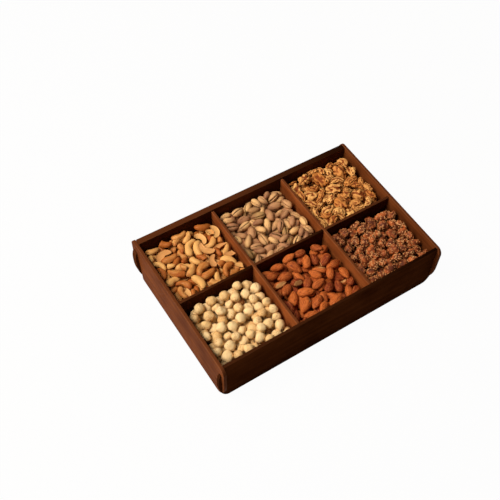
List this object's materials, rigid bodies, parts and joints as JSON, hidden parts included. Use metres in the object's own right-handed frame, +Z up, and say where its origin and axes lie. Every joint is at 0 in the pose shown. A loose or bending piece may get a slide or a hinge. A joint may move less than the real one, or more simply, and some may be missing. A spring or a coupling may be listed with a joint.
{
  "type": "nut gift tray",
  "caption": "Open rectangular wooden gift tray with cross-lapped rounded corners and lift-out dividers that part it into compartments filled with different nuts.",
  "frame": {"origin": "centre of the tray's outline on the surface that it stands on", "axes": "+X along the tray's length to its right, +Y to its rear with the thick board, +Z up"},
  "size_m": [0.3244, 0.2116, 0.07],
  "materials": {
    "board_wood": "dark brown stain, satin",
    "base_wood": "dark brown stain, matt",
    "divider_wood": "dark brown stain, satin",
    "cashew": "roasted golden kernel",
    "pistachio": "matt tan shell",
    "walnut": "folded golden kernel",
    "hazelnut": "skinned cream kernel",
    "almond": "ribbed reddish-brown skin",
    "candied_nut": "glazed brown clusters"
  },
  "bodies": {
    "tray": {"base_panel": "base_wood", "front_board": "board_wood", "back_board": "board_wood", "left_board": "board_wood", "right_board": "board_wood"},
    "long_divider": {"long_divider": "divider_wood"},
    "left_cross_divider": {"left_cross_divider": "divider_wood"},
    "right_cross_divider": {"right_cross_divider": "divider_wood"},
    "cashews": {"cashew_fill": "cashew", "cashew_1": "cashew", "cashew_2": "cashew", "cashew_3": "cashew", "cashew_4": "cashew", "cashew_5": "cashew"},
    "pistachios": {"pistachio_fill": "pistachio", "pistachio_1": "pistachio", "pistachio_2": "pistachio", "pistachio_3": "pistachio", "pistachio_4": "pistachio", "pistachio_5": "pistachio"},
    "walnuts": {"walnut_fill": "walnut", "walnut_1": "walnut", "walnut_2": "walnut", "walnut_3": "walnut", "walnut_4": "walnut", "walnut_5": "walnut"},
    "hazelnuts": {"hazelnut_fill": "hazelnut", "hazelnut_1": "hazelnut", "hazelnut_2": "hazelnut", "hazelnut_3": "hazelnut", "hazelnut_4": "hazelnut", "hazelnut_5": "hazelnut"},
    "almonds": {"almond_fill": "almond", "almond_1": "almond", "almond_2": "almond", "almond_3": "almond", "almond_4": "almond", "almond_5": "almond"},
    "candied_nuts": {"candied_nut_fill": "candied_nut", "candied_nut_1": "candied_nut", "candied_nut_2": "candied_nut", "candied_nut_3": "candied_nut", "candied_nut_4": "candied_nut", "candied_nut_5": "candied_nut"}
  },
  "joints": [
    {"name": "long_divider_lift", "type": "slide", "parent": "tray", "child": "long_divider", "axis": [0, 0, 1], "range_m": [0, 0.068]},
    {"name": "left_cross_divider_lift", "type": "slide", "parent": "long_divider", "child": "left_cross_divider", "axis": [0, 0, 1], "range_m": [0, 0.068]},
    {"name": "right_cross_divider_lift", "type": "slide", "parent": "long_divider", "child": "right_cross_divider", "axis": [0, 0, 1], "range_m": [0, 0.068]},
    {"name": "cashews_lift", "type": "slide", "parent": "tray", "child": "cashews", "axis": [0, 0, 1], "range_m": [0, 0.068]},
    {"name": "pistachios_lift", "type": "slide", "parent": "tray", "child": "pistachios", "axis": [0, 0, 1], "range_m": [0, 0.068]},
    {"name": "walnuts_lift", "type": "slide", "parent": "tray", "child": "walnuts", "axis": [0, 0, 1], "range_m": [0, 0.068]},
    {"name": "hazelnuts_lift", "type": "slide", "parent": "tray", "child": "hazelnuts", "axis": [0, 0, 1], "range_m": [0, 0.068]},
    {"name": "almonds_lift", "type": "slide", "parent": "tray", "child": "almonds", "axis": [0, 0, 1], "range_m": [0, 0.068]},
    {"name": "candied_nuts_lift", "type": "slide", "parent": "tray", "child": "candied_nuts", "axis": [0, 0, 1], "range_m": [0, 0.068]}
  ]
}
